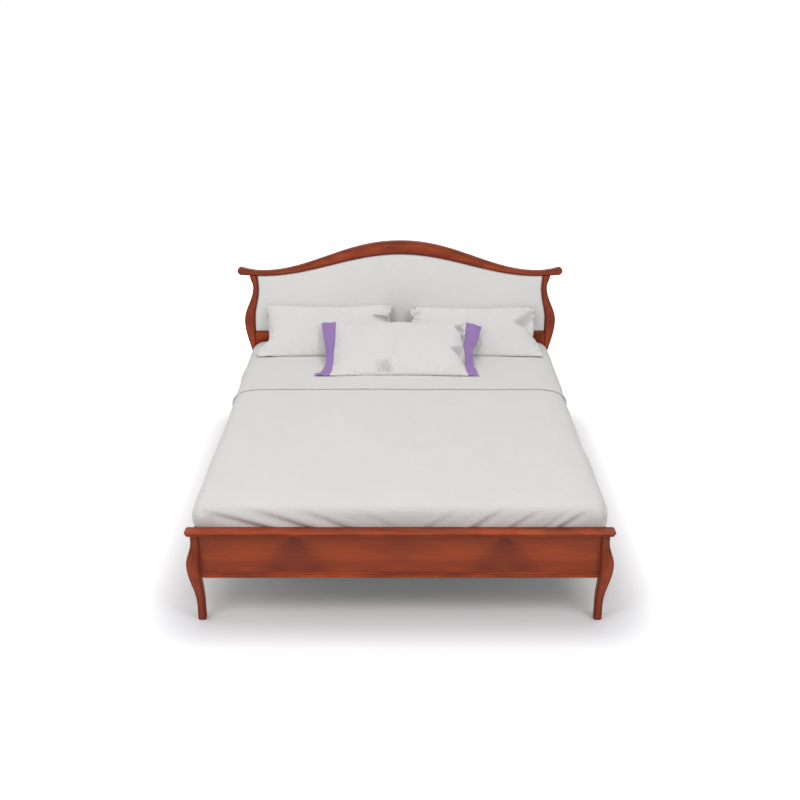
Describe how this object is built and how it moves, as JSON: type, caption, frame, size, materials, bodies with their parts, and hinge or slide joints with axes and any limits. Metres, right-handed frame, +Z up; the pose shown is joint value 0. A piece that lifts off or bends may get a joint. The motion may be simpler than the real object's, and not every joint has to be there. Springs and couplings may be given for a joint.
{
  "type": "upholstered bed",
  "caption": "Double bed with an arched upholstered headboard, a low panelled footboard, cabriole legs, a slatted base, a mattress and bedding.",
  "frame": {"origin": "on the floor under the middle of the bed's overall length and width", "axes": "+X to the right seen from the foot, +Y towards the headboard, +Z up"},
  "size_m": [1.836, 2.156, 1.1065],
  "materials": {
    "red_wood": "satin lacquer, red-brown stain",
    "veneer": "satin lacquer over figured veneer",
    "pale_wood": "planed, unfinished",
    "steel": "zinc plated",
    "dark_plastic": "matte",
    "foam": "open foam",
    "headboard_cloth": "fine plain weave, off-white",
    "lining": "plain lining",
    "ticking": "quilted ticking",
    "white_linen": "smooth cotton",
    "purple_linen": "smooth cotton"
  },
  "bodies": {
    "frame": {"crest_rail": "red_wood", "left_post": "red_wood", "right_post": "red_wood", "headboard_lower_rail": "red_wood", "headboard_bottom_rail": "red_wood", "headboard_backboard": "pale_wood", "headboard_foam": "foam", "headboard_cover": "headboard_cloth", "headboard_rear_cover": "lining", "left_leg": "red_wood", "right_leg": "red_wood", "footboard_panel": "veneer", "footboard_bead_rail": "red_wood", "footboard_cap": "red_wood", "left_side_rail": "red_wood", "right_side_rail": "red_wood", "left_ledge": "pale_wood", "right_ledge": "pale_wood", "centre_beam": "pale_wood", "front_beam_hanger": "steel", "rear_beam_hanger": "steel", "slat_01": "pale_wood", "slat_02": "pale_wood", "slat_03": "pale_wood", "slat_04": "pale_wood", "slat_05": "pale_wood", "slat_06": "pale_wood", "slat_07": "pale_wood", "slat_08": "pale_wood", "slat_09": "pale_wood", "slat_10": "pale_wood", "slat_11": "pale_wood", "slat_12": "pale_wood", "slat_13": "pale_wood", "slat_14": "pale_wood", "front_centre_leg": "steel", "rear_centre_leg": "steel", "foot_glides": "dark_plastic", "hook_plates": "steel", "slot_plates": "steel", "frame_dowels": "pale_wood", "plate_screws": "steel", "ledge_screws": "steel", "slat_screws": "steel", "hanger_screws": "steel", "centre_leg_screws": "steel"},
    "mattress": {"mattress": "ticking", "fitted_sheet": "white_linen", "duvet": "white_linen", "turned_sheet": "white_linen"},
    "left_back_pillow": {"left_back_pillow": "white_linen"},
    "right_back_pillow": {"right_back_pillow": "white_linen"},
    "front_pillow": {"front_pillow": "white_linen", "front_pillow_left_band": "purple_linen", "front_pillow_right_band": "purple_linen"},
    "front_levelling_foot": {"front_levelling_foot": "dark_plastic"},
    "rear_levelling_foot": {"rear_levelling_foot": "dark_plastic"}
  },
  "joints": [
    {"name": "mattress_lift", "type": "slide", "parent": "frame", "child": "mattress", "axis": [0, 0, 1], "range_m": [0, 0.3]},
    {"name": "left_back_pillow_pull", "type": "slide", "parent": "mattress", "child": "left_back_pillow", "axis": [-1, 0, 0], "range_m": [0, 0.3]},
    {"name": "right_back_pillow_pull", "type": "slide", "parent": "mattress", "child": "right_back_pillow", "axis": [1, 0, 0], "range_m": [0, 0.3]},
    {"name": "front_pillow_lift", "type": "slide", "parent": "mattress", "child": "front_pillow", "axis": [0, 0, 1], "range_m": [0, 0.3]},
    {"name": "front_foot_screw_out", "type": "slide", "parent": "frame", "child": "front_levelling_foot", "axis": [0, 0, -1], "range_m": [0, 0.015]},
    {"name": "rear_foot_screw_out", "type": "slide", "parent": "frame", "child": "rear_levelling_foot", "axis": [0, 0, -1], "range_m": [0, 0.015]}
  ]
}
